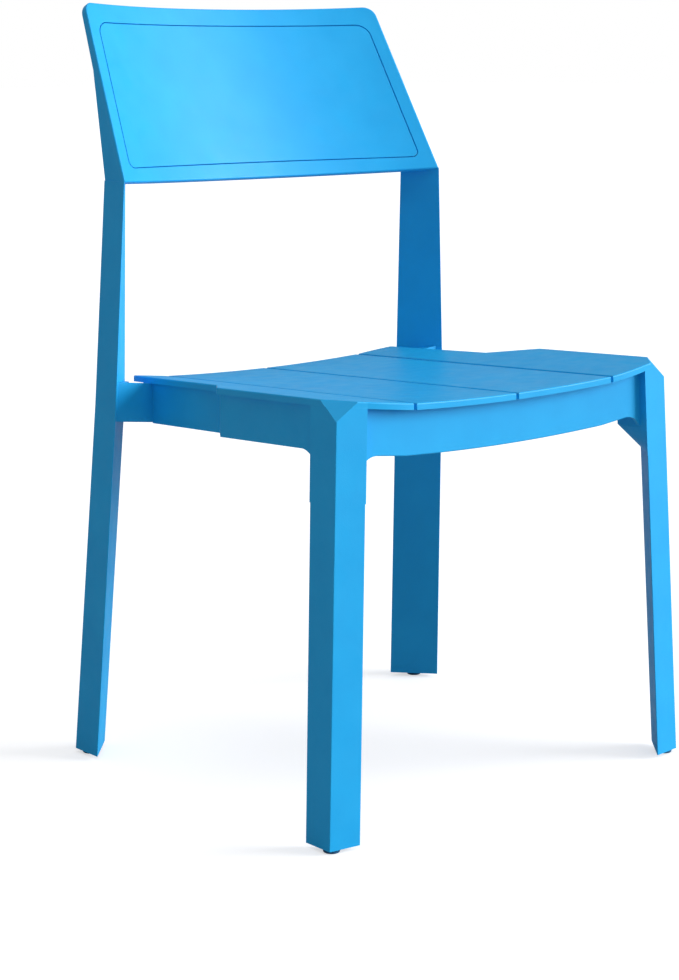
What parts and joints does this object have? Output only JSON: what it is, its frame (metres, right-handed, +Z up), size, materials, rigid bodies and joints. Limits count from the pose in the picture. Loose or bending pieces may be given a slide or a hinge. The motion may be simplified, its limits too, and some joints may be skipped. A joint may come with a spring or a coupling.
{
  "type": "stacking chair",
  "caption": "Stacking chair in azure plastic: slatted seat of flat boards, wedge-shaped legs and a curved, reclined back with an inset panel.",
  "frame": {"origin": "on the floor, under the middle of the chair's overall width and depth", "axes": "+Z up; the chair faces -Y, so a sitter looks along -Y; +X is the side at a viewer's right when the chair is seen from the front"},
  "size_m": [0.519, 0.5336, 0.848],
  "materials": {
    "frame_plastic": "satin azure blue, through-coloured, fine moulded grain",
    "seat_plastic": "satin azure blue, through-coloured, fine moulded grain",
    "backrest_plastic": "satin azure blue, through-coloured, fine moulded grain",
    "glide_plastic": "satin dark blue nylon",
    "fastener_steel": "plain zinc-plated steel"
  },
  "bodies": {
    "root": {"seat_board_outer_left": "seat_plastic", "seat_board_middle_left": "seat_plastic", "seat_board_middle_right": "seat_plastic", "seat_board_outer_right": "seat_plastic", "front_leg_left": "frame_plastic", "front_leg_right": "frame_plastic", "rear_leg_left": "frame_plastic", "rear_leg_right": "frame_plastic", "front_rail": "frame_plastic", "rear_rail": "frame_plastic", "side_rail_left": "frame_plastic", "side_rail_right": "frame_plastic", "front_bearer": "frame_plastic", "rear_bearer": "frame_plastic", "backrest_frame": "backrest_plastic", "backrest_panel": "backrest_plastic", "front_glide_left": "glide_plastic", "front_glide_right": "glide_plastic", "rear_glide_left": "glide_plastic", "rear_glide_right": "glide_plastic", "front_rail_bolts": "fastener_steel", "side_rail_bolts": "fastener_steel", "rear_leg_bolts": "fastener_steel", "frame_nuts": "fastener_steel", "seat_board_screws": "fastener_steel", "backrest_screws": "fastener_steel", "panel_screws": "fastener_steel"}
  },
  "joints": []
}
